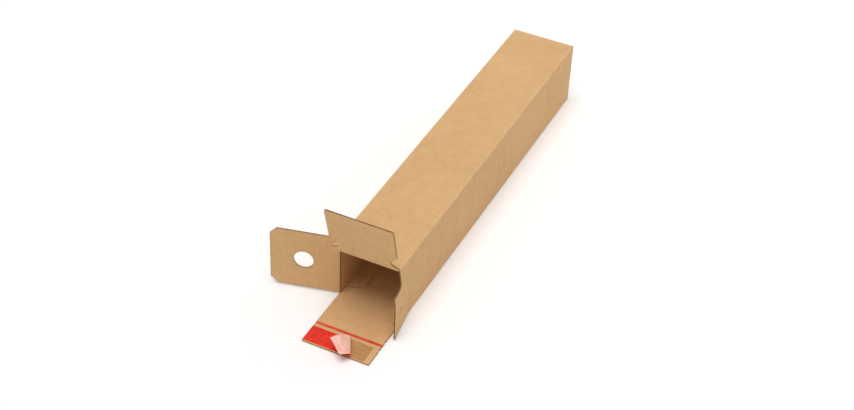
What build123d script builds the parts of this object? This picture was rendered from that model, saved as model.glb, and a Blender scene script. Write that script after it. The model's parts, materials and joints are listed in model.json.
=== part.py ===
from build123d import *

import os
from math import cos, radians, sin, tan

# A long square mailing box folded from one sheet of corrugated board, lying on its underside.
# The near end is open: four flaps stand at the angles they were left at. The far end is glued shut.
# X runs across the mouth, Y along the box from the mouth (-Y) to the closed end (+Y), and Z is up.
# The origin is the centre of the sleeve's underside. All sizes are in millimetres and degrees.

# Sleeve
inside_section = 110.0  # clear width and clear height
board = 2.0  # thickness of the corrugated board
sleeve_length = 690.0  # top panel, from its front crease to the closed end
fold_radius = 2.0  # outside radius of the long folds
end_layers = 2  # boards that lie on each other at the closed end
lap_width = 28.0  # glued lap inside the bottom panel
lap_setback = 6.0  # lap's front end, behind the right wall's front
lap_taper = 10.0  # slanted corner at each end of the lap
seam_width = 0.8  # open line where two boards meet
seam_depth = 0.8

# Creases and running clearances
crease_gap = 0.3  # between a flap's rounded hinge edge and the wall behind it
flap_clearance = 0.6  # between a flap's cut edge and the panel it passes
layer_gap = 0.6  # between two flaps that close over each other

# Top flap, the inner one of the two outer flaps
top_flap_length = 94.0
top_flap_angle = 75.0  # at rest, above straight forward
top_corner_radius = 4.0
notch_start = 4.0  # side notch at the flap's root, measured from the crease
notch_end = 31.0
notch_depth = 12.0
notch_lower_rise = 6.0  # slanted ends of the notch
notch_upper_rise = 13.0
notch_radius = 3.0

# Left flap, the inner lid with the finger hole
left_setback = 27.0  # crease behind the top panel's crease
left_flap_angle = 76.0  # at rest, outward from straight forward
left_corner_chamfer = 11.0
finger_hole_diameter = 31.5
finger_hole_reach = 57.5  # hole centre from the crease

# Right flap, which closes behind the left one
right_flap_spacing = 5.5  # free depth between the two closed inner flaps
right_flap_angle = 6.0  # at rest, outward from straight forward
right_flap_length = 64.0
right_shoulder_length = 33.0  # full-height part next to the crease
right_tongue_height = 82.0  # top of the longer lower part, above the underside
right_shoulder_radius = 6.0
right_corner_radius = 2.0

# Bottom flap, the outer one that seals the end
bottom_flap_length = 91.0
bottom_corner_radius = 1.5
tear_strip_reach = 47.0  # centre line from the crease
tear_strip_width = 4.5
tear_strip_thickness = 0.2
tear_tab_length = 20.0  # between the two nicks that free the strip's pull end
tear_nick = 3.0
seal_start = 57.0  # glue strip, from the crease
seal_width = 32.0
seal_end_margin = 10.0  # bare board at the strip's right end
glue_thickness = 0.15
liner_thickness = 0.15
peel_place = 17.0  # where the peeled liner folds back, across the flap from its middle
peel_skew = 22.0  # slant of that fold, from straight across the strip
peel_radius = 2.0
peel_rise = 9.0  # slope of the peeled tail above the flap

# Places worked out from the sizes above
outer_section = inside_section + 2 * board
half_outer = outer_section / 2
half_inside = inside_section / 2
half_board = board / 2
knuckle = half_board + crease_gap
end_face_y = sleeve_length / 2
end_inner_y = end_face_y - end_layers * board
flap_bottom_z = board + flap_clearance
flap_top_z = outer_section - board - flap_clearance
outer_flap_width = outer_section - 2 * flap_clearance

top_axis_y = -sleeve_length / 2
bottom_axis_y = top_axis_y - board - layer_gap
left_axis_y = top_axis_y + left_setback
right_axis_y = left_axis_y + board + right_flap_spacing
side_axis_x = half_outer - half_board
top_axis_z = outer_section - half_board

left_flap_length = side_axis_x + half_inside - flap_clearance
left_front_y = left_axis_y + knuckle
right_front_y = right_axis_y + knuckle
lap_front_y = right_front_y + lap_setback


def flap_plane(axis_point, hinge, reach):
    """Mid-plane of a flap: local X along the crease, local Y from the crease to the free edge."""
    return Plane(origin=axis_point, x_dir=hinge, z_dir=Vector(hinge).cross(Vector(reach)))


top_plane = flap_plane(
    (0, top_axis_y, top_axis_z),
    (1, 0, 0),
    (0, -cos(radians(top_flap_angle)), sin(radians(top_flap_angle))),
)
bottom_plane = flap_plane((0, bottom_axis_y, half_board), (-1, 0, 0), (0, -1, 0))
left_plane = flap_plane(
    (-side_axis_x, left_axis_y, 0),
    (0, 0, 1),
    (-sin(radians(left_flap_angle)), -cos(radians(left_flap_angle)), 0),
)
right_plane = flap_plane(
    (side_axis_x, right_axis_y, 0),
    (0, 0, 1),
    (sin(radians(right_flap_angle)), -cos(radians(right_flap_angle)), 0),
)

# The bottom flap's inner face, seen from above: local X runs to the left, local Y to the free edge
bottom_face = bottom_plane.offset(half_board)
glue_face = bottom_face.offset(glue_thickness)
seal_left = outer_flap_width / 2
seal_length = outer_flap_width - seal_end_margin

# The liner's fold: a slanted line across the strip, where the paper turns over and runs back
skew = radians(peel_skew)
fold_length = seal_width / cos(skew)
fold_back_x = -peel_place + seal_width / 2 * tan(skew)
fold_front_x = -peel_place - seal_width / 2 * tan(skew)
fold_turn = 180 - peel_rise
turn_length = peel_radius * radians(fold_turn) / cos(skew)
turn_drift = turn_length * sin(skew)
liner_end_x = seal_left - seal_length
tail_back = fold_back_x - liner_end_x - turn_length
tail_front = fold_front_x - liner_end_x - turn_length
fold_along = glue_face.y_dir * cos(skew) - glue_face.x_dir * sin(skew)
fold_across = glue_face.x_dir * -cos(skew) - glue_face.y_dir * sin(skew)
fold_plane = Plane(
    origin=glue_face.from_local_coords((fold_back_x, seal_start)),
    x_dir=fold_across,
    z_dir=fold_along,
)
turn_end = radians(fold_turn)
tail_plane = Plane(
    origin=fold_plane.from_local_coords(
        (peel_radius * sin(turn_end), peel_radius * (1 - cos(turn_end)), turn_drift)
    ),
    x_dir=fold_along,
    z_dir=glue_face.z_dir * cos(turn_end) - fold_across * sin(turn_end),
)


# Sleeve: four walls folded from one sheet, the closed end and the glued lap
with BuildPart() as sleeve:
    # Closed tube, from the far end to the front of the left wall
    with BuildSketch(Plane.XZ.offset(-end_face_y)):
        with Locations((0, half_outer)):
            RectangleRounded(outer_section, outer_section, fold_radius)
    extrude(amount=end_face_y - left_front_y)
    with BuildSketch(Plane.XZ.offset(-end_inner_y)):
        with Locations((0, half_outer)):
            Rectangle(inside_section, inside_section)
    extrude(amount=end_inner_y - left_front_y, mode=Mode.SUBTRACT)

    # The right wall stops further back than the left one
    with BuildSketch(Plane.XY.offset(board)):
        with Locations((half_inside, left_front_y)):
            Rectangle(board, right_front_y - left_front_y, align=(Align.MIN, Align.MIN))
    extrude(amount=inside_section, mode=Mode.SUBTRACT)

    # Top and bottom panels run on past the side walls to their own creases
    for panel_z, axis_y in ((outer_section - board, top_axis_y), (0, bottom_axis_y)):
        with BuildSketch(Plane.XY.offset(panel_z)):
            with Locations((0, left_front_y)):
                Rectangle(
                    outer_flap_width,
                    left_front_y - axis_y - knuckle,
                    align=(Align.CENTER, Align.MAX),
                )
        extrude(amount=board)

    # Glued lap along the bottom panel, slanted at both ends
    with BuildSketch(Plane.XY.offset(board)):
        with BuildLine():
            Polyline(
                (-half_inside, lap_front_y),
                (-half_inside + lap_width, lap_front_y + lap_taper),
                (-half_inside + lap_width, end_inner_y - lap_taper),
                (-half_inside, end_inner_y),
                close=True,
            )
        make_face()
    extrude(amount=board)

    # The outer end flap folds down from the top panel
    far_edges = sleeve.edges().filter_by(Axis.X).filter_by_position(Axis.Y, end_face_y, end_face_y)
    fillet(far_edges.sort_by(Axis.Z)[-1], fold_radius)

    # Its raw edges show on the sides and below, one board from the end
    seam_y = end_face_y - board
    with Locations((half_outer, seam_y, half_outer), (-half_outer, seam_y, half_outer)):
        Box(2 * seam_depth, seam_width, outer_section - 2 * board, mode=Mode.SUBTRACT)
    with Locations((0, seam_y, 0)):
        Box(outer_section, seam_width, 2 * seam_depth, mode=Mode.SUBTRACT)

    # Two inner end flaps meet in the middle, and the lap's fold stands on the bottom panel
    with Locations((0, end_inner_y, half_outer)):
        Box(seam_width, 2 * seam_depth, inside_section, mode=Mode.SUBTRACT)
    with Locations((-half_outer, left_front_y, board)):
        Box(
            2 * seam_depth,
            seam_y - left_front_y,
            seam_width,
            align=(Align.CENTER, Align.MIN, Align.CENTER),
            mode=Mode.SUBTRACT,
        )

# Top flap: full width, with a notch at each side of its root
with BuildPart() as top_flap:
    half_width = outer_flap_width / 2
    with BuildSketch(top_plane) as top_outline:
        with BuildLine():
            Polyline(
                (0, 0),
                (half_width, 0),
                (half_width, notch_start),
                (half_width - notch_depth, notch_start + notch_lower_rise),
                (half_width - notch_depth, notch_end - notch_upper_rise),
                (half_width, notch_end),
                (half_width, top_flap_length),
                (0, top_flap_length),
                close=True,
            )
        make_face()
        mirror(about=Plane.YZ)
        corners = top_outline.vertices().group_by(Axis.Y)
        fillet(corners[-1].sort_by(Axis.X)[:1] + corners[-1].sort_by(Axis.X)[-1:], top_corner_radius)
        notch_floor = top_outline.vertices().filter_by(
            lambda v: abs(abs(v.X) - half_width + notch_depth) < notch_depth / 10
        )
        fillet(notch_floor, notch_radius)
    extrude(amount=half_board, both=True)
    with Locations(top_plane):
        Cylinder(half_board, outer_flap_width, rotation=(0, 90, 0))

# Left flap: the inner lid, with slanted free corners and a finger hole
with BuildPart() as left_flap:
    with BuildSketch(left_plane):
        with BuildLine():
            Polyline(
                (flap_bottom_z, 0),
                (flap_top_z, 0),
                (flap_top_z, left_flap_length - left_corner_chamfer),
                (flap_top_z - left_corner_chamfer, left_flap_length),
                (flap_bottom_z + left_corner_chamfer, left_flap_length),
                (flap_bottom_z, left_flap_length - left_corner_chamfer),
                close=True,
            )
        make_face()
        with Locations((half_outer, finger_hole_reach)):
            Circle(finger_hole_diameter / 2, mode=Mode.SUBTRACT)
    extrude(amount=half_board, both=True)
    with Locations(left_plane * Pos(half_outer, 0, 0)):
        Cylinder(half_board, flap_top_z - flap_bottom_z, rotation=(0, 90, 0))

# Right flap: full height next to its crease, then a lower tongue
with BuildPart() as right_flap:
    with BuildSketch(right_plane) as right_outline:
        with BuildLine():
            Polyline(
                (flap_bottom_z, 0),
                (flap_top_z, 0),
                (flap_top_z, right_shoulder_length),
                (right_tongue_height, right_shoulder_length),
                (right_tongue_height, right_flap_length),
                (flap_bottom_z, right_flap_length),
                close=True,
            )
        make_face()
        inner_corner = right_outline.vertices().sort_by_distance(
            (right_tongue_height, right_shoulder_length)
        )[0]
        free_corners = right_outline.vertices().group_by(Axis.Y)[-1]
        fillet(inner_corner, right_shoulder_radius)
        fillet(free_corners, right_corner_radius)
    extrude(amount=half_board, both=True)
    with Locations(right_plane * Pos(half_outer, 0, 0)):
        Cylinder(half_board, flap_top_z - flap_bottom_z, rotation=(0, 90, 0))

# Bottom flap: two nicks at its right edge free the tear strip's pull end
with BuildPart() as bottom_flap:
    with BuildSketch(bottom_plane) as bottom_outline:
        Rectangle(outer_flap_width, bottom_flap_length, align=(Align.CENTER, Align.MIN))
        fillet(bottom_outline.vertices().group_by(Axis.Y)[-1], bottom_corner_radius)
        for side in (-1, 1):
            with Locations((-outer_flap_width / 2, tear_strip_reach + side * tear_tab_length / 2)):
                Rectangle(tear_nick, tear_nick, rotation=45, mode=Mode.SUBTRACT)
    extrude(amount=half_board, both=True)
    with Locations(bottom_plane):
        Cylinder(half_board, outer_flap_width, rotation=(0, 90, 0))

# Tear strip: a plastic tape across the bottom flap's inner face
with BuildPart() as tear_strip:
    with BuildSketch(bottom_face):
        with Locations((0, tear_strip_reach)):
            Rectangle(outer_flap_width, tear_strip_width)
    extrude(amount=tear_strip_thickness)

# Glue strip: from the flap's left edge nearly to its right edge
with BuildPart() as glue_strip:
    with BuildSketch(bottom_face):
        with Locations((seal_left, seal_start)):
            Rectangle(seal_length, seal_width, align=(Align.MAX, Align.MIN))
    extrude(amount=glue_thickness)

# Release liner: flat on the glue strip, then folded back over itself where it was peeled
with BuildPart() as release_liner:
    with BuildSketch(glue_face):
        with BuildLine():
            Polyline(
                (seal_left, seal_start),
                (fold_back_x, seal_start),
                (fold_front_x, seal_start + seal_width),
                (seal_left, seal_start + seal_width),
                close=True,
            )
        make_face()
    extrude(amount=liner_thickness)

    # The turn of the fold
    with BuildSketch(fold_plane):
        with BuildLine():
            outside = CenterArc((0, peel_radius), peel_radius, -90, fold_turn)
            inside = CenterArc((0, peel_radius), peel_radius - liner_thickness, -90, fold_turn)
            Line(outside @ 0, inside @ 0)
            Line(outside @ 1, inside @ 1)
        make_face()
    extrude(amount=fold_length + turn_drift)

    # The peeled tail, ending in the liner's square-cut end
    with BuildSketch(tail_plane):
        with BuildLine():
            Polyline(
                (0, 0),
                (fold_length, 0),
                (fold_length + tail_front * sin(skew), tail_front * cos(skew)),
                (tail_back * sin(skew), tail_back * cos(skew)),
                close=True,
            )
        make_face()
    extrude(amount=liner_thickness)

nodes = {
    "sleeve": sleeve,
    "top_flap": top_flap,
    "left_flap": left_flap,
    "right_flap": right_flap,
    "bottom_flap": bottom_flap,
    "tear_strip": tear_strip,
    "glue_strip": glue_strip,
    "release_liner": release_liner,
}

os.makedirs("parts", exist_ok=True)
for name, piece in nodes.items():
    piece.part.label = name
    export_step(piece.part, f"parts/{name}.step")
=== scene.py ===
"""Square mailing tube of corrugated board: papers, flutes, creases, tear strip, glue and peeled liner."""

import json
import logging
import math
from dataclasses import dataclass, replace
from enum import Enum, IntEnum
from typing import Any, Callable, Union

import bpy
import numpy as np
from mathutils import Matrix


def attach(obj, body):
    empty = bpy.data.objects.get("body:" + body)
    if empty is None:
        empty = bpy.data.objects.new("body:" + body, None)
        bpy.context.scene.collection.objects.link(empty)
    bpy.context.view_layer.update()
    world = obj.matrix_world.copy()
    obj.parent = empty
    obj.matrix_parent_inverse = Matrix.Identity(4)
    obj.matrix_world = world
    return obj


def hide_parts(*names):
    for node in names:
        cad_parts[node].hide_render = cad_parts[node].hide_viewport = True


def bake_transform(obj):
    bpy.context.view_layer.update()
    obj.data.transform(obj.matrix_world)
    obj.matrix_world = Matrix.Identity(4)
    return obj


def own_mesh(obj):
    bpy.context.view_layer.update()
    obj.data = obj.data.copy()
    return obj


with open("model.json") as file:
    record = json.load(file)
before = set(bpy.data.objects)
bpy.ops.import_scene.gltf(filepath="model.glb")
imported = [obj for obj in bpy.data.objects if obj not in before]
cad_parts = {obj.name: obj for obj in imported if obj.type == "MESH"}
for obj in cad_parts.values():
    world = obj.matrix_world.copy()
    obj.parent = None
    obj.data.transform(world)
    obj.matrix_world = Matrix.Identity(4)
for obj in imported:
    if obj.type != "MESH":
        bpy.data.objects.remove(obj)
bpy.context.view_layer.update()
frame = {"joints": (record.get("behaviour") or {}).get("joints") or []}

MM = 0.001
BOARD_MAP = "board"
# Mark for darker paper near cut edges, and for painted shade in a crease line and a dent.
DARK_EDGE_AND_SHADE = "rim"
CREASE = "crease"
SHARP_ANGLE = math.radians(34)
Array = np.ndarray
Rgba = tuple[float, float, float, float]
Value = Union["Wire", float]
log = logging.getLogger("mailing_tube")


# Shader expressions


def paint(red: int, green: int, blue: int) -> Rgba:
    """Turn a screen colour into the linear colour that a shader takes.

    Args:
        red: Red, 0 to 255.
        green: Green, 0 to 255.
        blue: Blue, 0 to 255.

    Returns:
        Linear red, green, blue and an alpha of 1.
    """
    screen = np.array((red, green, blue)) / 255
    linear = np.where(screen <= 0.04045, screen / 12.92, ((screen + 0.055) / 1.055) ** 2.4)
    return (*linear.tolist(), 1.0)


class Wire:
    """A shader socket that takes part in Python arithmetic."""

    def __init__(self, bench: "Bench", socket: bpy.types.NodeSocket) -> None:
        """Keep the socket and the bench that it belongs to."""
        self.bench = bench
        self.socket = socket

    def join(self, operation: str, first: Value, second: Value) -> "Wire":
        """Add one Math node and return its result.

        Args:
            operation: The Math node's operation.
            first: Its first value.
            second: Its second value.

        Returns:
            The node's output.
        """
        return self.bench.add("ShaderNodeMath", {"operation": operation}, {0: first, 1: second})

    def __add__(self, other: Value) -> "Wire":
        """Sum."""
        return self.join("ADD", self, other)

    def __radd__(self, other: float) -> "Wire":
        """Sum with a number in front."""
        return self.join("ADD", other, self)

    def __sub__(self, other: Value) -> "Wire":
        """Difference."""
        return self.join("SUBTRACT", self, other)

    def __rsub__(self, other: float) -> "Wire":
        """Difference with a number in front."""
        return self.join("SUBTRACT", other, self)

    def __mul__(self, other: Value) -> "Wire":
        """Product."""
        return self.join("MULTIPLY", self, other)

    def __rmul__(self, other: float) -> "Wire":
        """Product with a number in front."""
        return self.join("MULTIPLY", other, self)

    def sine(self) -> "Wire":
        """Sine of the value in radians."""
        return self.join("SINE", self, 0.0)

    def ramp(self, low: float, high: float) -> "Wire":
        """Rise smoothly from 0 at low to 1 at high.

        Args:
            low: Value that gives 0.
            high: Value that gives 1.

        Returns:
            The smooth step, held at its ends.
        """
        return self.bench.add(
            "ShaderNodeMapRange",
            {"interpolation_type": "SMOOTHSTEP"},
            {"Value": self, "From Min": low, "From Max": high},
        )


class Bench:
    """The node tree of a material or of the world, built from Python expressions."""

    def __init__(self, owner: Union[bpy.types.Material, bpy.types.World]) -> None:
        """Start with the owner's nodes cleared.

        Args:
            owner: The material or the world.
        """
        self.owner = owner
        self.owner.use_nodes = True
        self.tree = self.owner.node_tree
        self.tree.nodes.clear()

    @classmethod
    def of(cls, name: str) -> "Bench":
        """A bench for a new material of that name."""
        return cls(bpy.data.materials.new(name))

    def add(
        self,
        kind: str,
        settings: dict[str, Any],
        sockets: dict[Union[int, str], Any],
        output: Union[int, str] = 0,
    ) -> Wire:
        """Add a node, set it up and fill its sockets.

        Args:
            kind: The node's type.
            settings: Its properties, set first.
            sockets: Values or wires for its inputs, by name or place.
            output: The output that is returned.

        Returns:
            That output as a wire.
        """
        node = self.tree.nodes.new(kind)
        for name, value in settings.items():
            setattr(node, name, value)
        for key, value in sockets.items():
            if isinstance(value, Wire):
                self.tree.links.new(value.socket, node.inputs[key])
            else:
                node.inputs[key].default_value = value
        return Wire(self, node.outputs[output])

    def place(self) -> Wire:
        """Object coordinates, in metres."""
        return self.add("ShaderNodeTexCoord", {}, {}, "Object")

    def board_place(self) -> Wire:
        """Coordinates on the board: across the flutes and along them, in metres."""
        return self.add("ShaderNodeUVMap", {"uv_map": BOARD_MAP}, {})

    def mark(self, name: str) -> Wire:
        """A value that the mesh stores at each point."""
        return self.add("ShaderNodeAttribute", {"attribute_name": name}, {}, "Fac")

    def noise(self, where: Wire, scale: float, detail: float = 2.0, rough: float = 0.5) -> Wire:
        """Cloudy noise.

        Args:
            where: Coordinates.
            scale: Cells in a metre.
            detail: Number of finer layers.
            rough: Strength of the finer layers.

        Returns:
            A value about one half.
        """
        sockets = {"Vector": where, "Scale": scale, "Detail": detail, "Roughness": rough}
        return self.add("ShaderNodeTexNoise", {}, sockets, 0)

    def stretch(self, where: Wire, scale: tuple[float, float, float], turn: float = 0.0) -> Wire:
        """Turn and stretch coordinates.

        Args:
            where: Coordinates.
            scale: Factors for the three axes, after the turn.
            turn: Turn about the third axis, in degrees.

        Returns:
            The new coordinates.
        """
        turned = self.add(
            "ShaderNodeMapping", {}, {"Vector": where, "Rotation": (0, 0, math.radians(turn))}
        )
        return self.add("ShaderNodeMapping", {}, {"Vector": turned, "Scale": scale})

    def mix(self, share: Value, first: Any, second: Any) -> Wire:
        """Mix two colours.

        Args:
            share: Share of the second colour.
            first: First colour or wire.
            second: Second colour or wire.

        Returns:
            The mixed colour.
        """
        return self.add("ShaderNodeMix", {"data_type": "RGBA"}, {0: share, 6: first, 7: second}, 2)

    def bump(self, height: Wire, reach: float, strength: float) -> Wire:
        """Relief for the shader's normal.

        Args:
            height: Height, about 0 to 1.
            reach: Size of that height in metres.
            strength: Share of the relief that is shown.

        Returns:
            The bumped normal.
        """
        return self.add("ShaderNodeBump", {}, {"Height": height, "Distance": reach, "Strength": strength})

    def seen(self) -> Wire:
        """Mask of what is looked at, also in a mirror or through glass: 1 there and 0 for other light.

        Returns:
            The greatest of the three kinds of ray.
        """
        rays = ("Camera", "Glossy", "Transmission")
        camera, glossy, clear = (self.add("ShaderNodeLightPath", {}, {}, f"Is {ray} Ray") for ray in rays)
        return camera.join("MAXIMUM", camera, glossy.join("MAXIMUM", glossy, clear))

    def surface(self, **sockets: Any) -> bpy.types.Material:
        """Finish the material with a Principled shader.

        Args:
            sockets: The shader's inputs, with underscores for blanks.

        Returns:
            The material.
        """
        named = {key.replace("_", " "): value for key, value in sockets.items()}
        named["Specular IOR Level"] = named.pop("Specular", 0.3)
        shader = self.add("ShaderNodeBsdfPrincipled", {}, named)
        self.show(shader, "ShaderNodeOutputMaterial")
        return self.owner

    def show(self, shader: Wire, sink: str) -> None:
        """Lead a shader to an output node of the given type."""
        node = self.tree.nodes.new(sink)
        self.tree.links.new(shader.socket, node.inputs["Surface"])


# Finishes


@dataclass(frozen=True)
class KraftPaper:
    """Brown kraft paper: fine mottling, fibres, dark and pale flecks, faint flute lines, folds paler from
    rubbing with a painted highlight, darker near cut edges, painted shade in a crease line and a dent.
    """

    name: str = "kraft_paper"
    pale: Rgba = paint(226, 184, 135)
    middle: Rgba = paint(217, 174, 124)
    deep: Rgba = paint(205, 161, 111)
    fleck: Rgba = paint(148, 104, 62)
    # Colour of straw flecks, and of folds made paler by rubbing and a painted highlight.
    straw_and_highlight: Rgba = paint(238, 205, 160)
    # Colour of the darker paper near cut edges, and of the painted shade in the left crease's line and in
    # the dent.
    darkened: Rgba = paint(128, 90, 55)
    flute_pitch: float = 4.2 * MM
    drift_scale: float = 7.0
    cloud_scale: float = 75.0
    tuft_scale: float = 420.0
    fibre_grain: tuple[float, float, float] = (1500.0, 230.0, 1.0)
    fibre_turn: float = 12.0
    cross_grain: tuple[float, float, float] = (330.0, 1700.0, 1.0)
    cross_turn: float = -18.0
    fleck_grain: tuple[float, float, float] = (900.0, 1300.0, 1100.0)
    straw_grain: tuple[float, float, float] = (1100.0, 800.0, 1500.0)
    band_grain: tuple[float, float, float] = (95.0, 4.0, 1.0)
    relief: float = 0.25 * MM

    def build(self) -> bpy.types.Material:
        """Make the material.

        Clouds of three sizes mix the three browns, short stretched noise draws fibres, high peaks of
        fine noise become flecks, and a sine across the flutes gives the faint washboard.

        Returns:
            The material.
        """
        bench = Bench.of(self.name)
        place = bench.place()
        board = bench.board_place()
        across = bench.add("ShaderNodeSeparateXYZ", {}, {0: board}, 0)
        drift = bench.noise(place, self.drift_scale, 1.0)
        clouds = bench.noise(place, self.cloud_scale, 3.0, 0.55)
        tufts = bench.noise(place, self.tuft_scale, 3.0, 0.65)
        fibres = bench.noise(bench.stretch(board, self.fibre_grain, self.fibre_turn), 1.0, 3.0, 0.6)
        cross_fibres = bench.noise(bench.stretch(board, self.cross_grain, self.cross_turn), 1.0, 2.0, 0.5)
        flecks = bench.noise(bench.stretch(place, self.fleck_grain), 1.0, 1.0).ramp(0.67, 0.77)
        straws = bench.noise(bench.stretch(place, self.straw_grain), 1.0, 1.0).ramp(0.68, 0.78)
        bands = bench.noise(bench.stretch(board, self.band_grain), 1.0, 2.0, 0.5)
        wave = (across * (2 * math.pi / self.flute_pitch)).sine()
        mottle = drift * 0.22 + clouds * 0.36 + tufts * 0.46
        tone = mottle + fibres * 0.38 + cross_fibres * 0.22 + bands * 0.14 + wave * 0.04
        colour = bench.mix(tone.ramp(0.66, 0.93), self.deep, self.middle)
        colour = bench.mix(tone.ramp(0.86, 1.14), colour, self.pale)
        colour = bench.mix(flecks * 0.5, colour, self.fleck)
        colour = bench.mix(straws * 0.45, colour, self.straw_and_highlight)
        # Folds are paler: partly rubbing, partly a painted highlight.
        rubbed_and_highlight = bench.mark(CREASE) * (0.1 + 0.5 * clouds)
        colour = bench.mix(rubbed_and_highlight, colour, self.straw_and_highlight)
        # Darker near cut edges, and painted shade along the left crease's inner line and in the dent's
        # hollow.
        dark_edge_and_shade = bench.mark(DARK_EDGE_AND_SHADE) * (0.2 + 0.55 * tufts)
        colour = bench.mix(dark_edge_and_shade, colour, self.darkened)
        relief = tufts * 0.35 + fibres * 0.3 + cross_fibres * 0.2 + wave * 0.16 + clouds * 0.2
        return bench.surface(
            Base_Color=colour,
            Roughness=0.78 + 0.16 * clouds,
            Specular=0.22,
            Normal=bench.bump(relief, self.relief, 0.55),
        )


@dataclass(frozen=True)
class CutBoard:
    """Raw cut edge of the board: a little darker than the paper, matt and fuzzy from the knife."""

    name: str = "cut_board"
    pale: Rgba = paint(202, 160, 112)
    deep: Rgba = paint(152, 111, 72)

    def build(self) -> bpy.types.Material:
        """Make the material: fine noise mixes two browns.

        Returns:
            The material.
        """
        bench = Bench.of(self.name)
        place = bench.place()
        fuzz = bench.noise(place, 900.0, 3.0, 0.65)
        streak = bench.noise(place, 130.0, 2.0)
        colour = bench.mix((fuzz * 0.6 + streak * 0.4).ramp(0.35, 0.65), self.deep, self.pale)
        return bench.surface(
            Base_Color=colour,
            Roughness=0.86 + 0.1 * fuzz,
            Specular=0.15,
            Normal=bench.bump(fuzz, 0.2 * MM, 0.5),
        )


@dataclass(frozen=True)
class ReleasePaper:
    """Siliconed release paper: a satin red face or its pale uncoloured back."""

    name: str
    deep: Rgba
    pale: Rgba
    gloss: float
    shine: float

    def build(self) -> bpy.types.Material:
        """Make the material: two tones in soft clouds, with fine creases that catch the light.

        Returns:
            The material.
        """
        bench = Bench.of(self.name)
        place = bench.place()
        clouds = bench.noise(place, 120.0, 3.0, 0.6)
        grain = bench.noise(place, 1400.0, 2.0)
        crumple = bench.noise(bench.stretch(place, (150.0, 60.0, 90.0), 22.0), 1.0, 2.0)
        tone = clouds * 0.7 + grain * 0.3
        colour = bench.mix(tone.ramp(0.36, 0.66), self.deep, self.pale)
        return bench.surface(
            Base_Color=colour,
            Roughness=self.gloss + 0.2 * grain,
            Specular=0.4,
            Coat_Weight=self.shine,
            Coat_Roughness=0.35,
            Normal=bench.bump(crumple + grain * 0.08, 1.2 * MM, 0.35),
        )


@dataclass(frozen=True)
class TearTape:
    """Drawn plastic tape: satin red with lengthwise draw lines."""

    name: str = "tear_tape"
    deep: Rgba = paint(206, 60, 38)
    pale: Rgba = paint(230, 94, 64)

    def build(self) -> bpy.types.Material:
        """Make the material: noise stretched along the tape gives its draw lines.

        Returns:
            The material.
        """
        bench = Bench.of(self.name)
        lines = bench.noise(bench.stretch(bench.place(), (25.0, 2600.0, 800.0)), 1.0, 2.0)
        clouds = bench.noise(bench.place(), 90.0, 2.0)
        colour = bench.mix((lines * 0.6 + clouds * 0.4).ramp(0.35, 0.65), self.deep, self.pale)
        return bench.surface(
            Base_Color=colour,
            Roughness=0.32 + 0.2 * lines,
            Specular=0.5,
            Normal=bench.bump(lines, 0.1 * MM, 0.4),
        )


@dataclass(frozen=True)
class GlueFilm:
    """Pressure-sensitive glue on the board: wet, glossy and a little darker than the paper."""

    name: str = "glue_film"
    deep: Rgba = paint(174, 128, 78)
    pale: Rgba = paint(200, 154, 102)

    def build(self) -> bpy.types.Material:
        """Make the material: rolled-on ripples in the relief and the tone.

        Returns:
            The material.
        """
        bench = Bench.of(self.name)
        place = bench.place()
        ripple = bench.noise(bench.stretch(place, (70.0, 160.0, 100.0), 8.0), 1.0, 3.0, 0.5)
        grain = bench.noise(place, 700.0, 2.0)
        colour = bench.mix((ripple * 0.6 + grain * 0.4).ramp(0.3, 0.7), self.deep, self.pale)
        return bench.surface(
            Base_Color=colour,
            Roughness=0.24 + 0.2 * grain,
            Specular=0.5,
            Coat_Weight=0.5,
            Coat_Roughness=0.15,
            Normal=bench.bump(ripple, 0.6 * MM, 0.4),
        )


class BoardSlot(IntEnum):
    """Material places on a piece of board."""

    PAPER = 0
    CUT = 1


ALL_PAPER = (BoardSlot.PAPER,) * 3
ALL_CUT = (BoardSlot.CUT,) * 3


class LinerSlot(IntEnum):
    """Material places on the release liner."""

    PRINTED = 0
    BACK = 1


# Meshes


def edge_spacing(count: int) -> Array:
    """Places from 0 to 1, closer together at both ends: half of 1 minus the cosine of a half turn."""
    return (1 - np.cos(np.linspace(0, np.pi, count))) / 2


def travelled(line: Array) -> Array:
    """Distance along a line of points, from its first point."""
    return np.concatenate(([0.0], np.cumsum(np.linalg.norm(np.diff(line, axis=0), axis=1))))


def points_at(line: Array, share: Array) -> Array:
    """Points on a line at given shares of its length.

    Args:
        line: The line's points, one row each.
        share: Shares from 0 to 1.

    Returns:
        One point for each share, between the line's points in proportion.
    """
    run = travelled(line)
    return np.stack([np.interp(share * run[-1], run, line[:, axis]) for axis in (0, 1)], axis=1)


def arc(centre: tuple[float, float], radius: float, first: float, last: float, count: int = 9) -> Array:
    """Points on an arc: the centre plus the radius times cosine and sine of angles in equal steps.

    Args:
        centre: Centre of the arc.
        radius: Its radius.
        first: First angle in degrees.
        last: Last angle in degrees.
        count: Number of points.

    Returns:
        The points, one row each.
    """
    angle = np.radians(np.linspace(first, last, count))
    return np.stack((centre[0] + radius * np.cos(angle), centre[1] + radius * np.sin(angle)), axis=1)


def grid(*parts: Union[Array, float]) -> Array:
    """Points of a grid: the coordinates spread to one shape and stacked, one row for each point."""
    return np.stack(np.broadcast_arrays(*parts), axis=-1)


def link(name: str, data: bpy.types.ID) -> bpy.types.Object:
    """Add an object to the scene, at the origin.

    Args:
        name: The object's name.
        data: Its mesh, lamp or camera.

    Returns:
        The object.
    """
    thing = bpy.data.objects.new(name, data)
    bpy.context.scene.collection.objects.link(thing)
    return thing


def flat_board(s: Array, u: Array) -> Array:
    """Lean of a board that isn't bent: none anywhere."""
    return np.zeros(np.broadcast_shapes(np.shape(s), np.shape(u)))


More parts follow.
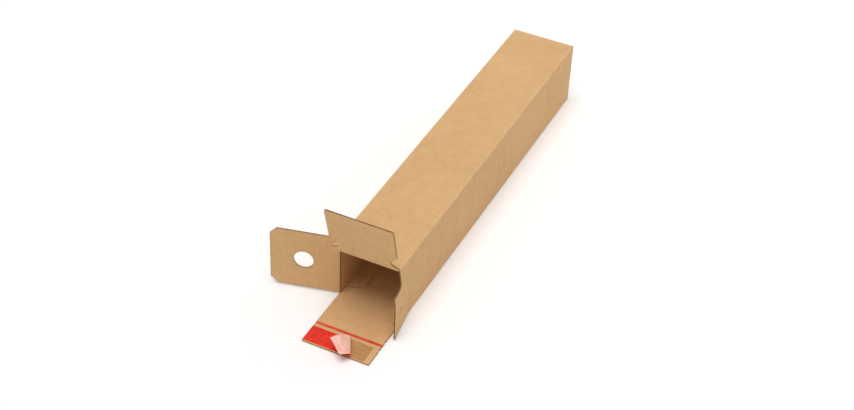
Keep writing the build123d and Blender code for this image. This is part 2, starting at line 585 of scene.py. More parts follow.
@dataclass(frozen=True)
class Placement:
    """A board's own axes: along the flutes, across them and out of the sheet, and how far it leans out."""

    origin: tuple[float, float, float]
    along: tuple[float, float, float]
    across: tuple[float, float, float]
    lean: Callable[[Array, Array], Array] = flat_board

    @property
    def out(self) -> Array:
        """Direction out of the sheet."""
        return np.cross(self.along, self.across)

    def put(self, s: Array, u: Array, n: Array) -> Array:
        """Place board coordinates in the part's frame.

        Args:
            s: Distance along the flutes.
            u: Distance across the flutes.
            n: Distance out of the sheet.

        Returns:
            Points: the origin plus each distance times its direction, with the lean added out of the sheet.
        """
        s, u, n = np.broadcast_arrays(s, u, n + self.lean(s, u))
        turned = s[..., None] * np.array(self.along) + u[..., None] * np.array(self.across)
        return np.array(self.origin) + turned + n[..., None] * self.out


class Patchwork:
    """Collects closed slabs, each from two grids of points, and writes them to one mesh."""

    def __init__(self) -> None:
        """Start with no slab."""
        self.points: list[Array] = []
        self.faces: list[Array] = []
        self.places: list[Array] = []
        self.rims: list[Array] = []
        self.creases: list[Array] = []
        self.slots: list[Array] = []
        self.count = 0

    @staticmethod
    def quads(rows: int, columns: int, wrap: bool) -> tuple[Array, Array]:
        """Number the quads of a grid and the edges round it.

        Args:
            rows: Points down the grid.
            columns: Points across it.
            wrap: Whether the last row joins the first.

        Returns:
            Four point numbers for each quad, and two for each border edge, in the quads' own sense.
        """
        index = np.arange(rows * columns).reshape(rows, columns)
        if wrap:
            index = np.vstack((index, index[:1]))
        first, second = index[:-1], index[1:]
        face = np.stack((first[:, :-1], second[:, :-1], second[:, 1:], first[:, 1:]), axis=-1).reshape(-1, 4)
        border = [
            np.stack((index[:-1, 0], index[1:, 0]), axis=1),
            np.stack((index[1:, -1], index[:-1, -1]), axis=1),
        ]
        if not wrap:
            border.append(np.stack((index[-1, :-1], index[-1, 1:]), axis=1))
            border.append(np.stack((index[0, 1:], index[0, :-1]), axis=1))
        return face, np.concatenate(border)

    def slab(
        self,
        front: Array,
        back: Array,
        place: Array,
        rim: Union[Array, float] = 0.0,
        crease: Union[Array, float] = 0.0,
        slots: tuple[int, int, int] = (BoardSlot.PAPER, BoardSlot.CUT, BoardSlot.CUT),
        wrap: bool = False,
    ) -> None:
        """Add a closed slab between two grids of the same size.

        Quads cover both grids and join their borders. If the volume comes out negative, each quad is
        turned round, so that the faces point outwards.

        Args:
            front: Points of the shown side, rows by columns by three.
            back: Points of the other side.
            place: Board coordinates, rows by columns by two.
            rim: Darker paper near a cut edge, and painted shade in a crease line or a dent, 0 to 1.
            crease: Nearness to a fold, 0 to 1.
            slots: Material places of the shown side, the other side and the border.
            wrap: Whether the last row joins the first.
        """
        rows, columns = front.shape[:2]
        size = rows * columns
        face, border = self.quads(rows, columns, wrap)
        joint = np.stack((border[:, 1], border[:, 0], border[:, 0] + size, border[:, 1] + size), axis=1)
        faces = np.concatenate((face, face[:, ::-1] + size, joint))
        points = np.concatenate((front.reshape(-1, 3), back.reshape(-1, 3)))
        a, b, c, d = (points[faces[:, corner]] for corner in range(4))
        volume = np.einsum("ij,ij->", a, np.cross(b, c)) + np.einsum("ij,ij->", a, np.cross(c, d))
        if volume < 0:
            faces = faces[:, ::-1]
        self.points.append(points)
        self.faces.append(faces + self.count)
        self.places.append(np.tile(place.reshape(-1, 2), (2, 1)))
        self.rims.append(np.tile(np.broadcast_to(rim, (rows, columns)).reshape(-1), 2))
        self.creases.append(np.tile(np.broadcast_to(crease, (rows, columns)).reshape(-1), 2))
        self.slots.append(np.repeat(np.array(slots), (len(face), len(face), len(joint))))
        self.count += 2 * size

    def make(self, name: str, materials: list[bpy.types.Material]) -> bpy.types.Object:
        """Write the slabs to one mesh object at the origin.

        Args:
            name: The piece's name.
            materials: Its materials, in the order of the slots.

        Returns:
            The object.
        """
        points = np.concatenate(self.points)
        faces = np.concatenate(self.faces)
        corners = faces.ravel().astype(np.int32)
        mesh = bpy.data.meshes.new(name)
        mesh.vertices.add(len(points))
        mesh.vertices.foreach_set("co", points.astype(np.float32).ravel())
        mesh.loops.add(len(corners))
        mesh.loops.foreach_set("vertex_index", corners)
        mesh.polygons.add(len(faces))
        mesh.polygons.foreach_set("loop_start", np.arange(0, len(corners), 4, dtype=np.int32))
        mesh.polygons.foreach_set("material_index", np.concatenate(self.slots).astype(np.int32))
        mesh.update(calc_edges=True)
        uv = mesh.uv_layers.new(name=BOARD_MAP)
        uv.data.foreach_set("uv", np.concatenate(self.places)[corners].astype(np.float32).ravel())
        for mark, values in ((DARK_EDGE_AND_SHADE, self.rims), (CREASE, self.creases)):
            layer = mesh.attributes.new(mark, "FLOAT", "POINT")
            layer.data.foreach_set("value", np.concatenate(values).astype(np.float32))
        for material in materials:
            mesh.materials.append(material)
        mesh.shade_smooth()
        mesh.set_sharp_from_angle(angle=SHARP_ANGLE)
        log.info("%s: %d points, %d faces", name, len(points), len(faces))
        return link(name, mesh)


@dataclass(frozen=True)
class Board:
    """Single-wall corrugated board: two papers with a fluted middle between them."""

    thickness: float = 2.0 * MM
    paper: float = 0.26 * MM
    medium: float = 0.18 * MM
    pitch: float = 4.2 * MM
    band: float = 5.0 * MM
    recess: float = 0.1 * MM
    hollow: float = 2.4 * MM
    step: float = 0.35 * MM
    # Reach of the darker paper next to a cut edge.
    darkened: float = 0.6 * MM
    slant_rows: int = 8

    @property
    def half(self) -> float:
        """Half the board's thickness."""
        return self.thickness / 2

    def flutes(self, work: Patchwork, place: Placement, edge: Array, depth_share: float = 1.0) -> None:
        """Lay the fluted middle along a cut edge.

        The strip follows the edge, with the board on the right of the way it runs, and goes inwards
        for the width of the band. Its height in the sheet is a sine across the flutes that just
        touches both papers. An edge that looks along the flutes needs no rows between its outer and its
        inner one, and a slanted edge gets more. A thin wall at the bottom of the hollow closes it.

        Args:
            work: Mesh to add to.
            place: The board's axes.
            edge: Points of the edge along and across the flutes.
            depth_share: Share of the hollow's depth that the cutting die left open.
        """
        count = max(3, math.ceil(travelled(edge)[-1] / self.step))
        line = points_at(edge, np.linspace(0, 1, count))
        heading = np.gradient(line, axis=0)
        heading /= np.linalg.norm(heading, axis=1, keepdims=True)
        inward = np.stack((heading[:, 1], -heading[:, 0]), axis=1)
        slant = float(np.abs(inward[:, 1]).max())
        depth = np.linspace(self.recess, self.band, 2 + round(self.slant_rows * slant))
        spot = line[:, None, :] + inward[:, None, :] * depth[None, :, None]
        swing = self.half - self.paper - self.medium / 2
        height = swing * np.sin(2 * np.pi * spot[..., 1] / self.pitch)
        front = place.put(spot[..., 0], spot[..., 1], height + self.medium / 2)
        back = place.put(spot[..., 0], spot[..., 1], height - self.medium / 2)
        work.slab(front, back, spot[..., ::-1], slots=ALL_CUT)
        level = np.array([[-1.0, 1.0]]) * (self.half - self.paper)
        walls = []
        bottom = self.hollow * depth_share
        for deep in (bottom, bottom + self.medium):
            row = line + inward * deep
            walls.append(place.put(row[:, :1], row[:, 1:], level))
        place_on = np.repeat(line[:, None, ::-1], 2, axis=1)
        work.slab(walls[0], walls[1], place_on, slots=ALL_CUT)

    def near_rim(self, distance: Array) -> Array:
        """Nearness to a cut edge: falls off by the exponent of the distance."""
        return np.exp(-distance / self.darkened)


@dataclass(frozen=True)
class Blank:
    """The die-cut sheet that the whole tube is folded from."""

    board: Board
    outside: float = 114.0 * MM
    end: float = 345.0 * MM
    clearance: float = 0.6 * MM
    crease_gap: float = 0.3 * MM
    fold: float = 2.0 * MM
    fold_share: float = 0.6

    @property
    def half(self) -> float:
        """Half the outside width."""
        return self.outside / 2

    @property
    def inner_half(self) -> float:
        """Half the inside width."""
        return self.half - self.board.thickness

    @property
    def raw_half(self) -> float:
        """Half the width of a flap or panel with two cut sides."""
        return self.half - self.clearance

    @property
    def fold_reach(self) -> float:
        """End of the top crease, part of the way round the long fold."""
        return self.half - self.fold_share * self.fold

    @property
    def low(self) -> float:
        """Lower edge of the two inner flaps."""
        return self.board.thickness + self.clearance

    @property
    def high(self) -> float:
        """Upper edge of the two inner flaps."""
        return self.outside - self.low


class Crease(Enum):
    """The four hinged creases: joint, way along, way out of the wall, and how far the flap stands open."""

    TOP = ("top_flap", (1, 0, 0), (0, 0, 1), 75.0)
    LEFT = ("left_flap", (0, 0, 1), (-1, 0, 0), 76.0)
    RIGHT = ("right_flap", (0, 0, 1), (1, 0, 0), 6.0)
    BOTTOM = ("bottom_flap", (1, 0, 0), (0, 0, -1), 0.0)

    @property
    def body(self) -> str:
        """The flap's body, which is also its node."""
        return self.value[0]

    @property
    def along(self) -> Array:
        """Direction along the crease."""
        return np.array(self.value[1], float)

    @property
    def outward(self) -> Array:
        """Direction out of the wall behind the crease."""
        return np.array(self.value[2], float)

    @property
    def opening(self) -> float:
        """Angle of the flap past straight, in radians."""
        return math.radians(self.value[3])

    @property
    def axis(self) -> Array:
        """Point on the hinge line, at the part's zero along the crease.

        Returns:
            The joint's place in the frame, less its share along the crease.
        """
        found = next(joint for joint in frame["joints"] if joint["child"] == self.body)
        spot = np.array(found["pos_m"], float)
        return spot - self.along * float(spot @ self.along)

    @property
    def reach(self) -> Array:
        """Direction from the crease to the free edge: straight ahead, turned outwards by the opening."""
        return np.array((0.0, -1.0, 0.0)) * math.cos(self.opening) + self.outward * math.sin(self.opening)

    def placement(self) -> Placement:
        """Axes of the flap at its hinge line."""
        return Placement(tuple(self.axis), tuple(self.along), tuple(self.reach))

    def wall_front(self, blank: Blank) -> float:
        """Front end of the wall behind the crease."""
        return float(self.axis[1]) + blank.board.half + blank.crease_gap


# Flaps


@dataclass(frozen=True)
class Dent:
    """A small knock in the board: its middle along and across the flutes, radius, depth and painted shade in
    its hollow.
    """

    s: float
    u: float
    radius: float
    depth: float
    painted_shade: float = 2.4

    def fall(self, s: Array, u: Array) -> Array:
        """Share of the depth at each place: the bell curve of the distance over the radius."""
        return np.exp(-((s - self.s) ** 2 + (u - self.u) ** 2) / self.radius**2)


@dataclass
class Flap:
    """A flap of board that is bounded by two sides between its crease and its free edge."""

    blank: Blank
    crease: Crease
    rows: int = 60
    columns: int = 40
    turn_points: int = 11
    crease_width: float = 1.6 * MM
    hollow_share: float = 1.0
    dents: tuple[Dent, ...] = ()

    def axes(self) -> Placement:
        """The flap's own axes."""
        return self.crease.placement()

    def sides(self) -> tuple[Array, Array]:
        """The two sides, from the crease to the free edge, along and across the flutes."""
        raise NotImplementedError

    def hidden_side(self, u: Array) -> Array:
        """Distance added to the second side's own where its cut doesn't show: none."""
        return np.zeros_like(u)

    def matched_sides(self) -> tuple[Array, Array]:
        """Both sides with the same number of points, every corner of either among them.

        Returns:
            The first and the second side.
        """
        first, second = self.sides()
        shares = [travelled(side) / travelled(side)[-1] for side in (first, second)]
        share = np.unique(np.round(np.concatenate((*shares, edge_spacing(self.rows))), 9))
        return points_at(first, share), points_at(second, share)

    def skin(self, work: Patchwork) -> None:
        """Lay both papers as one sheet that turns round the crease.

        Points run straight between the two sides. Along the sheet they go from the free edge down the
        inner face, round half a circle about the crease, and up the outer face. The sheet's other side
        is the same path, nearer the middle by the paper's thickness.

        Args:
            work: Mesh to add to.
        """
        board, place = self.blank.board, self.axes()
        first, second = self.matched_sides()
        share = edge_spacing(self.columns)[None, :]
        s = first[:, :1] * (1 - share) + second[:, :1] * share
        u = first[:, 1:] * (1 - share) + second[:, 1:] * share
        width = np.linalg.norm(second - first, axis=1)[:, None]
        side_gap = np.minimum(share * width, (1 - share) * width + self.hidden_side(u))
        rim = board.near_rim(np.minimum(side_gap, np.maximum(u.max() - u, 0)))
        # Paler near the crease and round its turn: rubbing with a painted highlight.
        fold = np.exp(-((u / self.crease_width) ** 2))
        knock = sum((dent.depth * dent.fall(s, u) for dent in self.dents), np.zeros_like(s))
        # Painted shade in each dent's hollow, added to the mark that darkens the paper.
        dent_shade = sum((dent.painted_shade * dent.fall(s, u) for dent in self.dents), np.zeros_like(s))
        angle = np.linspace(0, np.pi, self.turn_points)[1:-1, None]
        turn = np.ones_like(s[:1])
        layers = []
        for radius in (board.half, board.half - board.paper):
            face = (radius - knock)[::-1]
            n = np.concatenate((face, radius * np.cos(angle) * turn, np.full_like(u, -radius)))
            path = np.concatenate((u[::-1], -radius * np.sin(angle) * turn, u))
            across = np.concatenate((s[::-1], np.repeat(s[:1], len(angle), axis=0), s))
            layers.append(place.put(across, path, n))
        rims = np.concatenate((np.maximum(rim, dent_shade)[::-1], np.repeat(rim[:1], len(angle), axis=0), rim))
        creases = np.concatenate((fold[::-1], np.ones((len(angle), s.shape[1])), fold))
        work.slab(layers[0], layers[1], np.stack((path, across), axis=-1), rims, creases)

    def edges(self) -> list[Array]:
        """Cut edges that show flutes: up one side, along the free edge and down the other."""
        first, second = self.matched_sides()
        return [np.concatenate((first, second[::-1]))]

    def build(self, materials: list[bpy.types.Material]) -> bpy.types.Object:
        """Make the flap and set it on its body.

        Args:
            materials: Paper and cut board.

        Returns:
            The piece.
        """
        work = Patchwork()
        self.skin(work)
        for edge in self.edges():
            self.blank.board.flutes(work, self.axes(), edge, self.hollow_share)
        body = self.crease.body
        return settle(work.make(f"{body}_board", materials), body, body)


@dataclass
class TopFlap(Flap):
    """Upper outer flap, with a notch at each side of its root."""

    length: float = 94.0 * MM
    corner: float = 4.0 * MM
    notch_start: float = 4.0 * MM
    notch_end: float = 31.0 * MM
    notch_depth: float = 12.0 * MM
    lower_rise: float = 6.0 * MM
    upper_rise: float = 13.0 * MM
    lower_round: tuple[tuple[float, float], ...] = ((2.2, -1.1), (0.6, 0.3), (0.0, 2.2))
    upper_round: tuple[tuple[float, float], ...] = ((0.0, -1.4), (0.4, 0.2), (1.1, 1.2))

    def sides(self) -> tuple[Array, Array]:
        """Both sides: straight, in and out for the notch with rounded turns, and round the free corner.

        Returns:
            The left side, which mirrors the right one, and the right side.
        """
        wide = self.blank.raw_half
        deep = wide - self.notch_depth
        lower = (deep, self.notch_start + self.lower_rise) + np.array(self.lower_round) * MM
        upper = (deep, self.notch_end - self.upper_rise) + np.array(self.upper_round) * MM
        root = [(wide, 0.0), (wide, self.notch_start)]
        round_corner = arc((wide - self.corner, self.length - self.corner), self.corner, 0, 90)
        right = np.concatenate((root, lower, upper, [(wide, self.notch_end)], round_corner))
        return right * (-1, 1), right


@dataclass
class RightFlap(Flap):
    """Inner flap with a full-height root and a lower tongue."""

    length: float = 64.0 * MM
    shoulder: float = 33.0 * MM
    tongue: float = 82.0 * MM
    shoulder_radius: float = 9.0 * MM
    corner: float = 2.0 * MM
    tongue_corner: float = 4.0 * MM
    under_fold: float = 0.54 * MM
    twist_start: float = 66.0 * MM
    twist_power: float = 1.5
    flare: float = 0.045
    held: float = -0.105
    shown_before: float = 1.0 * MM

    @property
    def top(self) -> float:
        """Upper edge, just under the long fold."""
        return self.blank.high + self.under_fold

    def axes(self) -> Placement:
        """The flap's own axes, with its twist."""
        return replace(self.crease.placement(), lean=self.twist)

    def twist(self, s: Array, u: Array) -> Array:
        """Lean of the flap, whose upper root stays in line with the wall while the tongue stands open.

        The lean is the distance past the crease times a slope, which goes by a power of the height from
        the flare at the twist's start to the held slope at the upper edge.

        Args:
            s: Height on the flap.
            u: Distance from the crease.

        Returns:
            Distance out of the sheet.
        """
        share = np.clip((s - self.twist_start) / (self.top - self.twist_start), 0, 1)
        slope = self.flare + (self.held - self.flare) * share**self.twist_power
        return slope * np.maximum(u, 0)

    def sides(self) -> tuple[Array, Array]:
        """Lower side straight, upper side down the shoulder to the tongue, both with a round corner.

        Returns:
            The lower and the upper side.
        """
        end, low, high = self.length - self.corner, self.blank.low, self.top
        lower = np.concatenate(([(low, 0.0)], arc((low + self.corner, end), self.corner, 180, 90)))
        tip = (self.tongue - self.tongue_corner, self.length - self.tongue_corner)
        round_middle = (self.tongue + self.shoulder_radius, self.shoulder + self.shoulder_radius)
        upper = np.concatenate(
            (
                [(high, 0.0), (high, self.shoulder)],
                arc(round_middle, self.shoulder_radius, -90, -180),
                arc(tip, self.tongue_corner, 0, 90),
            )
        )
        return lower, upper

    def hidden_side(self, u: Array) -> Array:
        """Distance added to the upper side's own as far as it lies under the long fold."""
        return np.where(u < self.shoulder - self.shown_before, self.length, 0.0)


@dataclass
class BottomFlap(Flap):
    """Lower outer flap that seals the end, with two nicks that free the tear strip's pull end."""

    length: float = 91.0 * MM
    corner: float = 1.5 * MM
    strip_reach: float = 47.0 * MM
    tab_length: float = 20.0 * MM
    nick: float = 2.12 * MM

    def sides(self) -> tuple[Array, Array]:
        """Left side straight, right side with two nicks as deep as half their width, round corners.

        Returns:
            The left and the right side.
        """
        wide, end = self.blank.raw_half, self.length - self.corner
        left = np.concatenate(([(-wide, 0.0)], arc((self.corner - wide, end), self.corner, 180, 90)))
        middle = self.strip_reach + np.array([-0.5, 0.5]) * self.tab_length
        notch = np.stack((wide - self.nick * np.array([0, 1, 0]), self.nick * np.array([-1, 0, 1])), axis=1)
        notches = np.concatenate([notch + (0, reach) for reach in middle])
        right = np.concatenate(([(wide, 0.0)], notches, arc((wide - self.corner, end), self.corner, 0, 90)))
        return left, right


@dataclass
class LeftFlap(Flap):
    """Inner lid with slanted free corners and a round finger hole."""

    length: float = 110.4 * MM
    chamfer: float = 11.0 * MM
    hole_radius: float = 15.75 * MM
    hole_middle: tuple[float, float] = (57.0 * MM, 57.5 * MM)
    hole_points: int = 121
    ray_count: int = 144
    ray_points: int = 18
    crease_points: int = 16

    def outline(self) -> Array:
        """Corners of the lid.

        Returns:
            Points from the crease's lower end round the free edge to its upper end.
        """
        end, cut, low, high = self.length, self.chamfer, self.blank.low, self.blank.high
        lower = [(low, 0.0), (low, end - cut), (low + cut, end)]
        upper = [(high - cut, end), (high, end - cut), (high, 0.0)]
        return np.array(lower + upper)

    def rays(self) -> tuple[Array, Array]:
        """Directions from the hole's middle, and how far each goes to the outline.

        A ray meets a side's line where the cross products agree, and the nearest crossing ahead
        counts. The corners' own directions are among the rays.

        Returns:
            Unit directions and distances.
        """
        corners = self.outline() - self.hole_middle
        sides = np.roll(corners, -1, axis=0) - corners
        own = np.arctan2(corners[:, 1], corners[:, 0])
        even = np.linspace(-np.pi, np.pi, self.ray_count + 1)[:-1]
        angle = np.unique(np.round(np.concatenate((even, own)), 9))
        ray = np.stack((np.cos(angle), np.sin(angle)), axis=1)
        turned = corners[:, 0] * sides[:, 1] - corners[:, 1] * sides[:, 0]
        slant = ray[:, :1] * sides[None, :, 1] - ray[:, 1:] * sides[None, :, 0]
        reach = turned[None, :] / np.where(np.abs(slant) < 1e-12, np.nan, slant)
        return ray, np.nanmin(np.where(reach > 0, reach, np.inf), axis=1)

    def skin(self, work: Patchwork) -> None:
        """Lay two papers with the hole in them, and the turn of the crease.

        Each paper is a grid of rays: from the hole's rim out to the outline. The crease is half a
        circle carried along the hinge.

        Args:
            work: Mesh to add to.
        """
        board, axes, low, high = self.blank.board, self.axes(), self.blank.low, self.blank.high
        ray, reach = self.rays()
        share = edge_spacing(self.ray_points)[None, :]
        gone = self.hole_radius + (reach[:, None] - self.hole_radius) * share
        s = self.hole_middle[0] + ray[:, :1] * gone
        u = self.hole_middle[1] + ray[:, 1:] * gone
        cut_gap = np.minimum.reduce((gone - self.hole_radius, high - s, s - low, self.length - u))
        rim = board.near_rim(np.maximum(cut_gap, 0))
        # Paler near the crease: rubbing with a painted highlight.
        fold = np.exp(-((u / self.crease_width) ** 2))
        place = np.stack((u, s), axis=-1)
        half, inside = board.half, board.half - board.paper
        for side in (1, -1):
            n = np.full_like(s, side)
            work.slab(axes.put(s, u, n * half), axes.put(s, u, n * inside), place, rim, fold, wrap=True)
        angle = np.linspace(0, np.pi, self.turn_points)[:, None]
        along = low + (high - low) * edge_spacing(self.crease_points)[None, :]
        turns = [axes.put(along, -r * np.sin(angle), r * np.cos(angle)) for r in (half, inside)]
        work.slab(turns[0], turns[1], grid(-half * np.sin(angle), along), 0.0, 1.0)

    def edges(self) -> list[Array]:
        """Cut edges that show flutes: the outline and the hole."""
        return [self.outline(), arc(self.hole_middle, self.hole_radius, 0, 360, self.hole_points)]


@dataclass
class CreaseSkin:
    """The papers of one crease, which bend from the wall into the flap."""

    blank: Blank
    crease: Crease
    span: tuple[float, float]
    reach: float = 2.6 * MM
    lift: float = 0.03 * MM
    score: float = 0.4 * MM
    score_place: float = 0.75 * MM
    score_width: float = 0.4 * MM
    # Strength, width and place of a dark line of painted shade in the inner crease.
    shade_line: float = 0.0
    shade_line_width: float = 0.85 * MM
    shade_line_place: float = 0.7 * MM
    lean: Callable[[Array, Array], Array] = flat_board
    straight_points: int = 15
    bend_points: int = 12
    columns: int = 24
    nearly_straight: float = 0.2
    rub_and_highlight_width: float = 1.2 * MM
    blend_half: float = 0.6 * MM

    def ways(self) -> tuple[Array, Array]:
        """Directions along the flap and out of it, as distance back along the wall and out of the wall."""
        cos, sin = math.cos(self.crease.opening), math.sin(self.crease.opening)
        return np.array((-cos, sin)), np.array((sin, cos))

    def inner_path(self, radius: float) -> Array:
        """Path of the inner paper: along the wall, round the hinge line by the opening, along the flap.

        Args:
            radius: Distance of the paper from the hinge line.

        Returns:
            Rows of distance back along the wall and out of it.
        """
        angle = self.crease.opening
        along, out = self.ways()
        back = np.linspace(self.reach, 0, self.straight_points)
        wall = grid(back, -radius)
        turn = np.linspace(0, angle, self.bend_points)[1:-1, None] if angle > 0 else np.zeros((0, 1))
        bend = np.concatenate((-radius * np.sin(turn), -radius * np.cos(turn)), axis=1)
        ahead = back[::-1][1 if angle == 0 else 0 :, None]
        return np.concatenate((wall, bend, ahead * along - radius * out))

    def outer_path(self, radius: float) -> Array:
        """Path of the outer paper: along the wall to where it meets the flap's outer face, then up that.

        Args:
            radius: Distance of the paper from the hinge line.

        Returns:
            Rows of distance back along the wall and out of it.
        """
        along, out = self.ways()
        meet = radius * math.tan(self.crease.opening / 2)
        back = np.linspace(self.reach, meet, self.straight_points)
        return np.concatenate((grid(back, radius), back[::-1][1:, None] * along + radius * out))

    def build(self, materials: list[bpy.types.Material]) -> bpy.types.Object:
        """Make both papers, bent round the hinge between the sleeve and the flap.

        A nearly straight flap gets a pressed score line: a bell-shaped dip beside the hinge line. Past the
        hinge line the papers lean as the flap does, and the inner paper may bear a bell-shaped dark line
        of painted shade.

        Args:
            materials: Paper and cut board.

        Returns:
            The piece.
        """
        board, crease = self.blank.board, self.crease
        s = self.span[0] + (self.span[1] - self.span[0]) * edge_spacing(self.columns)[None, :]
        back = np.array((0.0, 1.0, 0.0))
        work = Patchwork()
        for side, path_of in ((-1, self.inner_path), (1, self.outer_path)):
            layers = []
            for radius in (board.half + self.lift, board.half + self.lift - board.paper):
                path = path_of(radius)
                if crease.opening < self.nearly_straight:
                    dip = self.score * np.exp(-(((path[:, 0] - self.score_place) / self.score_width) ** 2))
                    path = path - grid(0.0, side * dip)
                spot = crease.axis + path[:, None, :1] * back + path[:, None, 1:] * crease.outward
                ahead = (path - (0.0, side * radius)) @ self.ways()[0]
                lean = self.lean(s, np.maximum(ahead, 0)[:, None])
                layers.append(spot + s[..., None] * crease.along + lean[..., None] * crease.placement().out)
            gone = travelled(path)[:, None] - self.reach
            # Paler along the hinge: rubbing with a painted highlight.
            fold = np.exp(-((gone / self.rub_and_highlight_width) ** 2))
            # Painted shade: a dark line along the inner crease, carried in the mark that darkens the paper.
            line = self.shade_line * np.exp(-(((gone - self.shade_line_place) / self.shade_line_width) ** 2))
            rim = line if side < 0 else 0.0
            work.slab(layers[0], layers[1], grid(gone, s), rim, fold, slots=ALL_PAPER)
        piece = work.make(f"{crease.body}_crease", materials)
        turn = crease.reach - back
        turn *= self.blend_half / np.linalg.norm(turn)
        start, end = tuple(crease.axis - turn), tuple(crease.axis + turn)
        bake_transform(piece)
        return piece


# Sleeve


class Wall(Enum):
    """The four walls: the axis they face, and the side of it."""

    TOP = ("z", 1)
    BOTTOM = ("z", -1)
    LEFT = ("x", -1)
    RIGHT = ("x", 1)


@dataclass
class Sleeve:
    """The folded sheet: four walls, the long folds, the glued lap and the closed end."""

    blank: Blank
    lap_setback: float = 6.0 * MM
    lap_width: float = 28.0 * MM
    lap_taper: float = 10.0 * MM
    bow: float = 0.5 * MM
    ease: float = 0.2 * MM
    end_gap: float = 0.5 * MM
    end_seam: float = 0.4 * MM
    fold_stop: float = 1.0 * MM
    fold_width: float = 3.0 * MM
    # Paler long folds, far turn and side edges: rubbing with a painted highlight.
    fold_rub_and_highlight: float = 0.35
    far_rub_and_highlight: float = 0.6
    far_rub_and_highlight_width: float = 2.5 * MM
    edge_rub_and_highlight: float = 0.3
    edge_rub_and_highlight_width: float = 0.9 * MM
    tuck: float = 6.0 * MM
    run_points: int = 90
    drop_points: int = 24
    turn_points: int = 9
    outer_columns: int = 25
    inner_rows: int = 60
    inner_columns: int = 13
    lap_rows: int = 80
    plate_points: int = 9

    @property
    def board(self) -> Board:
        """The board that the sleeve is made of."""
        return self.blank.board

    @property
    def layer(self) -> float:
        """Where the end's outer layer begins."""
        return self.blank.end - self.board.thickness

    @property
    def over_end(self) -> float:
        """Where the long folds stop, just short of the end's outer layer."""
        return self.layer - self.fold_stop

    def front(self, crease: Crease) -> float:
        """Front end of the wall behind a crease."""
        return crease.wall_front(self.blank)

    def wall_path(self, front: float, far: float, drop: float, inset: float) -> Array:
        """A straight run, a quarter turn towards the inside and a short straight drop.

        Args:
            front: Start of the run.
            far: Where the turn ends.
            drop: Length of the drop after the turn.
            inset: Distance of this path inside the outer one.

        Returns:
            Rows of place along the wall and depth below its face.
        """
        radius = self.blank.fold
        run = np.linspace(front, far - radius, self.run_points)
        angle = np.linspace(0, np.pi / 2, self.turn_points)[1:]
        turn_y = far - radius + (radius - inset) * np.sin(angle)
        turn_depth = radius - (radius - inset) * np.cos(angle)
        fall = np.linspace(radius, radius + drop, self.drop_points)[1:]
        y = np.concatenate((run, turn_y, np.full_like(fall, far - inset)))
        depth = np.concatenate((np.full_like(run, inset), turn_depth, fall))
        return np.stack((y, depth), axis=1)

    def set_wall(self, wall: Wall, across: Array, y: Array, depth: Union[Array, float]) -> Array:
        """Place a wall's own coordinates in the part's frame.

        Args:
            wall: Which wall.
            across: Place across the wall.
            y: Place along the tube.
            depth: Depth below the wall's outer face.

        Returns:
            The points.
        """
        axis, side = wall.value
        if axis == "z":
            return grid(across, y, self.blank.outside - depth if side > 0 else depth)
        return grid(side * (self.blank.half - depth), y, across)

    def outer_paper(
        self, work: Patchwork, wall: Wall, front: float, far: float, drop: float, limits: tuple[Array, Array]
    ) -> None:
        """Lay a wall's outer paper, which turns in at the far end.

        The path of the wall is carried across it between the two limits. A shallow crown, 1 minus the
        square of the place across times a flat-topped curve along, lets the panel belly a little. The
        paper is paler from rubbing, partly a painted highlight, at the far turn, by a bell curve, and at
        both sides, by an exponent.

        Args:
            work: Mesh to add to.
            wall: Which wall.
            front: Front end of the wall.
            far: Far end of the wall.
            drop: Length after the far turn.
            limits: Lower and upper limit across, each as rows of place along the tube and limit.
        """
        low, high = limits
        share = edge_spacing(self.outer_columns)[None, :]
        bow = 0.0 if wall is Wall.BOTTOM else self.bow
        layers = []
        for inset in (0.0, self.board.paper):
            path = self.wall_path(front, far, drop, inset)
            gone = travelled(path) + front
            left = np.interp(gone, low[:, 0], low[:, 1])[:, None]
            right = np.interp(gone, high[:, 0], high[:, 1])[:, None]
            across = left + (right - left) * share
            run = np.clip((path[:, :1] - front) / (far - self.blank.fold - front), 0, 1)
            crown = bow * (1 - (2 * run - 1) ** 6) * (1 - (2 * share - 1) ** 2)
            layers.append(self.set_wall(wall, across, path[:, :1], path[:, 1:] - crown))
        far_fold = np.exp(-(((gone - far + self.blank.fold / 2) / self.far_rub_and_highlight_width) ** 2))[:, None]
        edge_fold = np.exp(-np.minimum(share, 1 - share) * self.blank.outside / self.edge_rub_and_highlight_width)
        rubbed_and_highlight = np.maximum(self.far_rub_and_highlight * far_fold, self.edge_rub_and_highlight * edge_fold)
        work.slab(layers[0], layers[1], grid(gone[:, None] - front, across), 0.0, rubbed_and_highlight)

    def inner_paper(self, work: Patchwork, wall: Wall, front: float, limits: tuple[Array, Array]) -> None:
        """Lay a wall's flat inner paper between its limits.

        Args:
            work: Mesh to add to.
            wall: Which wall.
            front: Front end.
            limits: Lower and upper limit across, each as rows of place along the tube and limit.
        """
        low, high = limits
        even = np.linspace(front, self.layer, self.inner_rows)
        y = np.unique(np.concatenate((even, low[:, 0], high[:, 0])))
        y = y[(y >= front) & (y <= self.layer)][:, None]
        share = edge_spacing(self.inner_columns)[None, :]
        left = np.interp(y, low[:, 0], low[:, 1])
        right = np.interp(y, high[:, 0], high[:, 1])
        across = left + (right - left) * share
        deep = self.board.thickness
        faces = [self.set_wall(wall, across, y, depth) for depth in (deep, deep - self.board.paper)]
        work.slab(faces[0], faces[1], grid(y - front, across))

